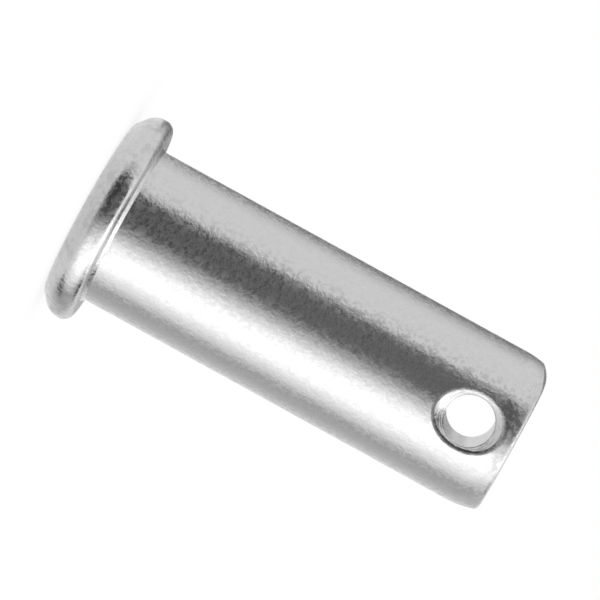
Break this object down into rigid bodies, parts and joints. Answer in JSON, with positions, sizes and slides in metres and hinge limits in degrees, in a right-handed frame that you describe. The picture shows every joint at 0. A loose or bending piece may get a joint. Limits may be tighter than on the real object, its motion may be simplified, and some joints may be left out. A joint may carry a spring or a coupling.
{
  "type": "clevis pin",
  "caption": "Steel clevis pin: flat round head with a rolled rim, plain cylindrical shank, and a countersunk cross hole for a cotter near the dressed tip.",
  "frame": {"origin": "centre of the head's flat outer face, on which the pin stands", "axes": "+Z along the shank from the head to the tip, +Y along the cross hole; the tip's rolled-over edge is on the -X side"},
  "size_m": [0.0126, 0.0126, 0.0275],
  "materials": {
    "stainless_steel": "bright tumbled stainless steel, faintly satin"
  },
  "bodies": {
    "root": {"clevis_pin": "stainless_steel"}
  },
  "joints": []
}
